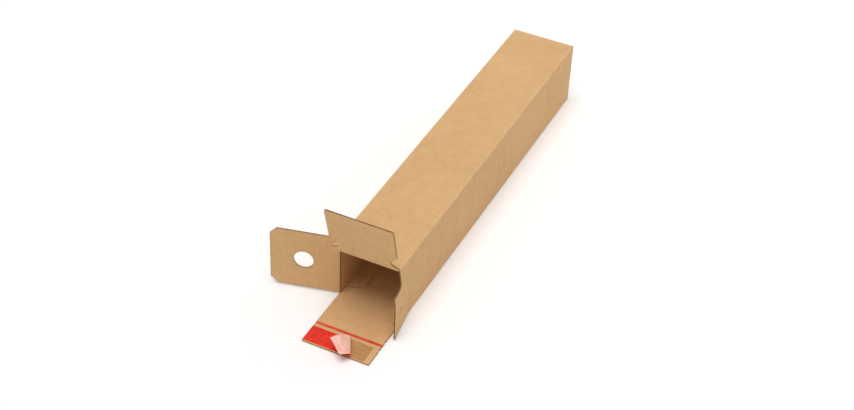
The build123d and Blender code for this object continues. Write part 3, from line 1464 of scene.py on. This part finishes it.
    def long_fold(self, work: Patchwork, middle: tuple[float, float], first: float, front: float) -> None:
        """Lay a long fold: a quarter circle carried along the tube.

        Args:
            work: Mesh to add to.
            middle: Centre of the quarter circle, across and up.
            first: Angle at which it starts, in degrees.
            front: Front end.
        """
        y = np.linspace(front, self.over_end, self.run_points)[:, None]
        layers = []
        for radius in (self.blank.fold, self.blank.fold - self.board.paper):
            turn = arc(middle, radius, first, first + 90, self.turn_points)
            layers.append(grid(turn[None, :, 0], y, turn[None, :, 1]))
        round_fold = np.linspace(0, self.fold_width, self.turn_points)[None, :]
        # The whole fold is marked paler: rubbing with a painted highlight.
        work.slab(layers[0], layers[1], grid(y - front, round_fold), 0.0, self.fold_rub_and_highlight)

    def plate(self, work: Patchwork, low: tuple[float, ...], high: tuple[float, ...]) -> None:
        """Add a flat closed plate that stands across the tube, between two corners.

        Args:
            work: Mesh to add to.
            low: Lowest corner.
            high: Highest corner.
        """
        x = np.linspace(low[0], high[0], self.plate_points)[:, None]
        z = np.linspace(low[2], high[2], self.plate_points)[None, :]
        work.slab(grid(x, high[1], z), grid(x, low[1], z), grid(z, x), slots=ALL_PAPER)

    @staticmethod
    def even_limit(place: float) -> Array:
        """Limit of a panel that stays the same from well ahead of the tube to well past it."""
        return np.array([(-1.0, place), (1.0, place)])

    def steps(self, crease: Crease, ahead: float, held: float, past: float) -> Array:
        """Limit of a panel that runs on ahead of a side wall and past its far end.

        Args:
            crease: The side wall's crease.
            ahead: Limit ahead of the side wall.
            held: Limit along the side wall.
            past: Limit past the side wall's far end.

        Returns:
            Rows of place along the tube and limit.
        """
        front, over_end = self.front(crease), self.over_end
        start = [(front - self.ease, ahead), (front, held)]
        return np.array(start + [(over_end, held), (over_end + self.ease, past)])

    def walls(self, work: Patchwork) -> None:
        """Lay the outer papers, the long folds and the inner papers of the four walls.

        Args:
            work: Mesh to add to.
        """
        blank, thick = self.blank, self.board.thickness
        flat, raw, top = blank.half - blank.fold, blank.raw_half, blank.outside - blank.fold
        fronts = {crease: self.front(crease) for crease in Crease}
        over = (self.steps(Crease.LEFT, -raw, -flat, -raw), self.steps(Crease.RIGHT, flat, flat, raw))
        self.outer_paper(work, Wall.TOP, fronts[Crease.TOP], blank.end, top - self.end_gap, over)
        for wall, crease, lower in (
            (Wall.RIGHT, Crease.RIGHT, blank.fold),
            (Wall.LEFT, Crease.LEFT, blank.fold + thick),
        ):
            limits = (self.even_limit(lower), self.even_limit(top))
            self.outer_paper(work, wall, fronts[crease], self.layer, self.tuck, limits)
        under = (
            self.steps(Crease.LEFT, -raw, -blank.half, -blank.half)[:3],
            self.steps(Crease.RIGHT, raw, flat, flat)[:3],
        )
        self.outer_paper(work, Wall.BOTTOM, fronts[Crease.BOTTOM], self.layer, self.tuck, under)
        self.long_fold(work, (flat, top), 0, fronts[Crease.TOP])
        self.long_fold(work, (-flat, top), 90, fronts[Crease.LEFT])
        self.long_fold(work, (flat, blank.fold), -90, fronts[Crease.RIGHT])
        self.long_fold(work, (-flat, blank.fold + thick), 180, fronts[Crease.LEFT])
        meet = blank.inner_half + self.board.paper
        inside = self.steps(Crease.LEFT, -raw, -meet, -meet)[:2]
        for wall, crease, lip in (
            (Wall.TOP, Crease.TOP, blank.half - self.board.paper),
            (Wall.BOTTOM, Crease.BOTTOM, raw),
        ):
            limits = (inside, self.steps(Crease.RIGHT, lip, meet, meet)[:2])
            self.inner_paper(work, wall, fronts[crease], limits)
        upright = (self.even_limit(thick), self.even_limit(blank.outside - thick))
        for wall, crease in ((Wall.RIGHT, Crease.RIGHT), (Wall.LEFT, Crease.LEFT)):
            self.inner_paper(work, wall, fronts[crease], upright)

    def fold_end(self, work: Patchwork, middle: tuple[float, float], first: float, y: float) -> None:
        """Close a long fold's front end with a quarter disc: radius times cosine and sine of the angle.

        Args:
            work: Mesh to add to.
            middle: Centre of the quarter circle, across and up.
            first: Angle at which it starts, in degrees.
            y: Place of the end.
        """
        radius = np.linspace(0.02, 1, 4)[:, None] * self.blank.fold
        angle = np.radians(np.linspace(first, first + 90, self.turn_points))[None, :]
        x, z = middle[0] + radius * np.cos(angle), middle[1] + radius * np.sin(angle)
        work.slab(grid(x, y, z), grid(x, y + self.board.paper, z), grid(z, x), slots=ALL_PAPER)

    def fronts(self, work: Patchwork) -> None:
        """Close the walls' front ends, where the sheet runs on into the flaps' creases.

        Args:
            work: Mesh to add to.
        """
        blank, paper, thick = self.blank, self.board.paper, self.board.thickness
        raw, low, high = blank.raw_half, blank.fold, blank.outside - blank.fold
        flat = blank.half - blank.fold
        for crease, bottom, wide in ((Crease.TOP, blank.outside - thick, flat), (Crease.BOTTOM, 0.0, raw)):
            y = self.front(crease)
            self.plate(work, (-raw, y, bottom), (wide, y + paper, bottom + thick))
        self.fold_end(work, (flat, high), 0, self.front(Crease.TOP))
        y = self.front(Crease.RIGHT)
        self.plate(work, (blank.inner_half, y, low), (blank.half, y + paper, high))
        y = self.front(Crease.LEFT)
        self.plate(work, (-blank.half, y, low + thick), (-blank.inner_half, y + paper, high))

    def closed_end(self, work: Patchwork) -> None:
        """Add the end's two inner flaps and the inner paper of its outer flap.

        Args:
            work: Mesh to add to.
        """
        thick, paper, raw = self.board.thickness, self.board.paper, self.blank.raw_half
        top, inner = self.blank.outside - thick, self.blank.inner_half
        for low, high in ((-inner, -self.end_seam), (self.end_seam, inner)):
            self.plate(work, (low, self.layer - thick, thick), (high, self.layer - paper, top))
        self.plate(work, (-raw, self.layer, self.end_gap), (raw, self.layer + paper, top))

    def lap(self, work: Patchwork) -> None:
        """Add the glued lap on the bottom panel: two papers from its wall side to its slanted free side.

        Args:
            work: Mesh to add to.
        """
        paper, thick = self.board.paper, self.board.thickness
        far, front = self.layer - thick, self.front(Crease.RIGHT) + self.lap_setback
        wall_x, free_x = -self.blank.inner_half, self.lap_width - self.blank.inner_half
        free_front, free_far = front + self.lap_taper, far - self.lap_taper
        share = np.linspace(0, 1, self.lap_rows)
        line_a = points_at(np.array([(wall_x, front), (wall_x, far)]), share)
        line_b = points_at(np.array([(free_x, free_front), (free_x, free_far)]), share)
        over = edge_spacing(self.plate_points)[None, :]
        x = line_a[:, :1] * (1 - over) + line_b[:, :1] * over
        y = line_a[:, 1:] * (1 - over) + line_b[:, 1:] * over
        for level in (2 * thick, thick + paper):
            work.slab(grid(x, y, level), grid(x, y, level - paper), grid(y, x))
        axes = Placement((0, 0, 1.5 * thick), (1, 0, 0), (0, 1, 0))
        edge = [(wall_x, far), (free_x, free_far), (free_x, free_front), (wall_x, front)]
        for side in zip(edge[:-1], edge[1:]):
            self.board.flutes(work, axes, np.array(side))

    def raw_edges(self, work: Patchwork) -> None:
        """Lay flutes in the cut edges of the panels and of the end's outer flap.

        Args:
            work: Mesh to add to.
        """
        blank, raw, half = self.blank, self.blank.raw_half, self.board.half
        right, left = self.front(Crease.RIGHT), self.front(Crease.LEFT)
        for crease, z in ((Crease.TOP, blank.outside - half), (Crease.BOTTOM, half)):
            axes = Placement((0, 0, z), (1, 0, 0), (0, 1, 0))
            front = self.front(crease)
            if crease is Crease.BOTTOM:
                self.board.flutes(work, axes, np.array([(raw, right), (raw, front)]))
            self.board.flutes(work, axes, np.array([(-raw, front), (-raw, left)]))
        along = np.array([(-blank.half, left), (-blank.half, self.layer - blank.fold)])
        self.board.flutes(work, Placement((0, 0, half), (1, 0, 0), (0, 1, 0)), along)
        start = blank.outside - blank.fold
        flap = Placement((0, blank.end - half, start), (1, 0, 0), (0, 0, -1))
        low = start - self.end_gap
        corners = [(-raw, 0), (-raw, low), (raw, low), (raw, 0)]
        for side in zip(corners[:-1], corners[1:]):
            self.board.flutes(work, flap, np.array(side))

    def build(self, materials: list[bpy.types.Material]) -> bpy.types.Object:
        """Make the sleeve and set it on its body.

        Args:
            materials: Paper and cut board.

        Returns:
            The piece.
        """
        work = Patchwork()
        self.walls(work)
        self.fronts(work)
        self.closed_end(work)
        self.lap(work)
        self.raw_edges(work)
        return settle(work.make("sleeve_board", materials), "sleeve", "sleeve")


# Seal on the bottom flap


@dataclass
class SealStrips:
    """Tear tape, glue band and peeled release liner on the bottom flap's inner face."""

    blank: Blank
    tape_reach: float = 46.2 * MM
    tape_width: float = 5.4 * MM
    tape_thickness: float = 0.2 * MM
    seal_start: float = 55.0 * MM
    seal_width: float = 34.0 * MM
    seal_margin: float = 10.0 * MM
    tape_edge: float = 0.15
    glue: float = 0.15 * MM
    glue_sink: float = 0.35
    glue_waves: tuple[float, float, float] = (1.9 * MM, 1.1 * MM, 5.0 * MM)
    liner: float = 0.15 * MM
    pull_tab: float = 8.2 * MM
    peel_place: float = 8.8 * MM
    peel_skew: float = 27.4
    back_radius: float = 6.9 * MM
    front_radius: float = 7.0 * MM
    back_rise: float = 27.0
    front_rise: float = 24.0
    droop: float = 3.0 * MM
    arch: float = 3.0 * MM
    tail_ripple: float = 0.35 * MM
    tail_waves: tuple[float, float] = (7.0, 5.0)
    tape_grid: tuple[int, int] = (90, 15)
    glue_grid: tuple[int, int] = (120, 50)
    flat_rows: int = 40
    tail_rows: int = 80
    liner_columns: int = 34

    @property
    def left(self) -> float:
        """Left end of the strips."""
        return -self.blank.raw_half

    @property
    def right(self) -> float:
        """Right end of the glue band."""
        return self.blank.raw_half - self.seal_margin

    @property
    def crease_y(self) -> float:
        """Place of the bottom flap's crease."""
        return float(Crease.BOTTOM.axis[1])

    @property
    def face_z(self) -> float:
        """Height of the bottom flap's inner face."""
        return self.blank.board.thickness

    def film(self, x: Array, y: Array, top: Array) -> Patchwork:
        """Lay a thin film on the flap's face.

        Args:
            x: Places across the flap.
            y: Places along it.
            top: Height of the film's upper side.

        Returns:
            The film's mesh, not yet written.
        """
        x, y, top = np.broadcast_arrays(x, y, top)
        work = Patchwork()
        work.slab(grid(x, y, top), grid(x, y, self.face_z), grid(y, x), slots=(0, 0, 0))
        return work

    def tape(self, material: bpy.types.Material) -> bpy.types.Object:
        """Make the tear tape: a low crowned section carried across the flap.

        The height falls from the thickness to its edge share by the sixth power of the place across.

        Args:
            material: The tape's material.

        Returns:
            The piece.
        """
        rows, columns = self.tape_grid
        x = np.linspace(self.left, -self.left, rows)[:, None]
        share = np.linspace(-1, 1, columns)[None, :]
        y = self.crease_y - self.tape_reach + share * self.tape_width / 2
        top = self.face_z + self.tape_thickness * (self.tape_edge + (1 - self.tape_edge) * (1 - share**6))
        piece = self.film(x, y, top).make("tear_tape_strip", [material])
        return settle(piece, "bottom_flap", "tear_strip")

    def glue_band(self, material: bpy.types.Material) -> bpy.types.Object:
        """Make the glue band: a film whose surface ripples as two crossed sines.

        Args:
            material: The glue's material.

        Returns:
            The piece.
        """
        rows, columns = self.glue_grid
        x = np.linspace(self.left, self.right, rows)[:, None]
        reach = np.linspace(0, self.seal_width, columns)[None, :]
        y = self.crease_y - self.seal_start - reach
        across, along, slant = self.glue_waves
        ripple = 0.5 + 0.25 * (np.sin(x / across) + np.sin(reach / along + x / slant))
        top = self.face_z + self.glue * (1 - self.glue_sink * ripple)
        piece = self.film(x, y, top).make("glue_band", [material])
        return settle(piece, "bottom_flap", "glue_strip")

    def peeled_liner(self, materials: list[bpy.types.Material]) -> bpy.types.Object:
        """Make the release liner: flat on the glue, then rolled back about a slanted fold.

        A point of the flat strip keeps its place along the fold. Its distance past the fold first
        goes round a circle and then straight on at the tail's slope, so no paper stretches. The tail
        rises more at the back than at the front. Its back side arches as half a sine, and its end
        droops by the square of the distance.

        Args:
            materials: Printed face and pale back.

        Returns:
            The piece.
        """
        skew = math.radians(self.peel_skew)
        v = np.linspace(0, self.seal_width, self.liner_columns)[None, :]
        share = v / self.seal_width
        turn = np.radians(180 - self.back_rise - (self.front_rise - self.back_rise) * share)
        radius = self.back_radius + (self.front_radius - self.back_radius) * share
        fold_x = self.peel_place + (v - self.seal_width / 2) * math.tan(skew)
        flat_x = self.left + (fold_x - self.left) * np.linspace(0, 1, self.flat_rows)[:-1, None]
        tail_x = fold_x + (self.right + self.pull_tab - fold_x) * np.linspace(0, 1, self.tail_rows)[:, None]
        x = np.concatenate((flat_x, tail_x))
        past = (x - fold_x) * math.cos(skew)
        along = (x - fold_x) * math.sin(skew) + v / math.cos(skew)
        bend = np.clip(past / radius, 0, turn)
        straight = np.maximum(past - radius * turn, 0)
        far = straight / straight.max()
        across = np.minimum(past, 0) + radius * np.sin(bend) + straight * np.cos(turn)
        ripple = self.tail_ripple * np.sin(share * self.tail_waves[0] + far * self.tail_waves[1]) * far
        swell = self.arch * np.sin(np.pi * far) * (1 - share) - self.droop * far**2
        height = radius * (1 - np.cos(bend)) + straight * np.sin(turn) + swell + ripple
        base_x = self.peel_place - self.seal_width / 2 * math.tan(skew)
        base_y = self.crease_y - self.seal_start
        px = base_x + along * math.sin(skew) + across * math.cos(skew)
        py = base_y - along * math.cos(skew) + across * math.sin(skew)
        back = np.stack((px, py, self.face_z + self.glue + height), axis=-1)
        lean = (-np.sin(bend) * math.cos(skew), -np.sin(bend) * math.sin(skew), np.cos(bend))
        work = Patchwork()
        slots = (LinerSlot.PRINTED, LinerSlot.BACK, LinerSlot.BACK)
        work.slab(back + np.stack(lean, axis=-1) * self.liner, back, grid(v, x), slots=slots)
        piece = settle(work.make("peeled_liner", materials), "bottom_flap", "release_liner")
        anchor = (self.peel_place, base_y - self.seal_width / 2, self.face_z + self.glue)
        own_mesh(piece)
        return piece


def settle(piece: bpy.types.Object, body: str, node: str) -> bpy.types.Object:
    """Set a piece on its body, in place of a CAD node, which is hidden.

    Args:
        piece: The piece.
        body: Body that it rides on.
        node: CAD node that it stands for.

    Returns:
        The piece.
    """
    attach(piece, body)
    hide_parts(node)
    return piece


# Studio


@dataclass
class Studio:
    """White floor, soft light from above, a weak lamp beside the far end, and the camera."""

    camera_place: tuple[float, float, float] = (0.8051, -1.9386, 1.6491)
    heading: float = 24.01
    elevation: float = 38.68
    roll: float = 2.94
    lens: float = 67.09
    sensor: float = 36.0
    floor_size: float = 12.0
    floor_points: int = 5
    floor_gap: float = 0.4 * MM
    floor_tone: float = 0.96
    floor_drift: float = 0.01
    floor_glow: float = 0.06
    sky: float = 0.46
    sun: float = 1.72
    sun_spread: float = 38.0
    sun_from: tuple[float, float, float] = (0.0, -0.2, 1.0)
    panel: float = 3.0
    panel_size: float = 0.7
    panel_from: tuple[float, float, float] = (0.5, 1.3, 0.15)
    panel_to: tuple[float, float, float] = (0.06, -0.1, 0.06)

    @staticmethod
    def stand(thing: bpy.types.Object, axes: tuple[Array, Array, Array], place: tuple[float, ...]) -> None:
        """Turn a lamp or the camera to its axes and put it in its place.

        Args:
            thing: The object.
            axes: Directions of its right, its top and its back.
            place: Where it stands.
        """
        turned = np.eye(4)
        turned[:3, :4] = np.stack((*axes, np.array(place)), axis=1)
        thing.matrix_world = Matrix(turned.tolist())

    def camera(self) -> None:
        """Set the camera from its place, heading, elevation and roll."""
        turn, lift, roll = (math.radians(a) for a in (self.heading, self.elevation, self.roll))
        level = np.array((math.cos(turn), math.sin(turn), 0.0))
        onward = np.array((-math.sin(turn), math.cos(turn), 0.0))
        ahead = onward * math.cos(lift) - np.array((0.0, 0.0, math.sin(lift)))
        upright = np.cross(level, ahead)
        right = level * math.cos(roll) + upright * math.sin(roll)
        up = upright * math.cos(roll) - level * math.sin(roll)
        data = bpy.data.cameras.new("camera")
        data.lens = self.lens
        data.sensor_width = self.sensor
        view = link("camera", data)
        self.stand(view, (right, up, -ahead), self.camera_place)
        bpy.context.scene.camera = view

    def floor(self) -> None:
        """Lay the floor: a flat grid just below the object, which glows a little where it is looked at."""
        reach = np.linspace(-self.floor_size / 2, self.floor_size / 2, self.floor_points)
        points = grid(reach[:, None], reach[None, :], -self.floor_gap).reshape(-1, 3)
        faces, _ = Patchwork.quads(self.floor_points, self.floor_points, False)
        mesh = bpy.data.meshes.new("floor")
        mesh.from_pydata(points.tolist(), [], faces.tolist())
        mesh.update()
        bench = Bench.of("floor_paper")
        tone = bench.noise(bench.place(), 3.0, 2.0)
        tones = (self.floor_tone, self.floor_tone + self.floor_drift)
        dull, bright = ((level, level, level, 1.0) for level in tones)
        colour = bench.mix(tone, dull, bright)
        glow = bench.seen() * self.floor_glow
        floor_paper = bench.surface(
            Base_Color=colour, Roughness=0.9, Specular=0.0, Emission_Color=glow, Emission_Strength=1.0
        )
        mesh.materials.append(floor_paper)
        piece = link("floor", mesh)

    def light(self) -> None:
        """Light the object with an even sky, one broad soft lamp and a weak panel beside the far end."""
        world = bpy.data.worlds.new("studio")
        bench = Bench(world)
        sky = {"Color": (1.0, 1.0, 1.0, 1.0), "Strength": self.sky + (1 - self.sky) * bench.seen()}
        bench.show(bench.add("ShaderNodeBackground", {}, sky), "ShaderNodeOutputWorld")
        bpy.context.scene.world = world
        sun = bpy.data.lights.new("soft_lamp", "SUN")
        sun.energy = self.sun
        sun.angle = math.radians(self.sun_spread)
        self.hang(sun, self.sun_from, (0.0, 0.0, 0.0))
        panel = bpy.data.lights.new("side_lamp", "AREA")
        panel.energy = self.panel
        panel.shape = "DISK"
        panel.size = self.panel_size
        self.hang(panel, self.panel_from, self.panel_to)

    def hang(self, data: bpy.types.Light, place: tuple[float, ...], towards: tuple[float, ...]) -> None:
        """Hang a lamp so that it looks from its place towards a point.

        Args:
            data: The lamp.
            place: Where it hangs.
            towards: The point that it looks at.
        """
        back = np.subtract(place, towards)
        back /= np.linalg.norm(back)
        side = np.cross((0.0, 1.0, 0.0), back)
        side /= np.linalg.norm(side)
        self.stand(link(data.name, data), (side, np.cross(back, side), back), place)

    def build(self) -> None:
        """Make the studio."""
        self.camera()
        self.floor()
        self.light()
        bpy.context.scene.view_settings.view_transform = "Standard"


def main() -> None:
    """Build every piece of the tube in order, then the studio."""
    logging.basicConfig(level=logging.INFO, format="%(name)s: %(message)s")
    blank = Blank(Board())
    stock = [KraftPaper(flute_pitch=blank.board.pitch).build(), CutBoard().build()]
    Sleeve(blank).build(stock)
    TopFlap(blank, Crease.TOP).build(stock)
    LeftFlap(blank, Crease.LEFT).build(stock)
    knock = Dent(s=40.0 * MM, u=35.0 * MM, radius=2.3 * MM, depth=0.7 * MM)
    right = RightFlap(blank, Crease.RIGHT, columns=120, rows=90, dents=(knock,))
    right.build(stock)
    BottomFlap(blank, Crease.BOTTOM, hollow_share=0.25).build(stock)
    wide = blank.raw_half
    CreaseSkin(blank, Crease.TOP, (-wide, blank.fold_reach)).build(stock)
    # The left crease gets a dark line of painted shade along its inner paper.
    CreaseSkin(blank, Crease.LEFT, (blank.low, blank.high), shade_line=2.8).build(stock)
    CreaseSkin(blank, Crease.RIGHT, (blank.low, right.top), lean=right.twist).build(stock)
    CreaseSkin(blank, Crease.BOTTOM, (-wide, wide)).build(stock)
    seal = SealStrips(blank)
    seal.tape(TearTape().build())
    seal.glue_band(GlueFilm().build())
    printed = ReleasePaper("liner_face", paint(217, 34, 18), paint(240, 54, 36), gloss=0.5, shine=0.05)
    bare = ReleasePaper("liner_back", paint(251, 184, 168), paint(255, 214, 200), gloss=0.55, shine=0.03)
    seal.peeled_liner([printed.build(), bare.build()])
    Studio().build()


if __name__ == "__main__":
    main()
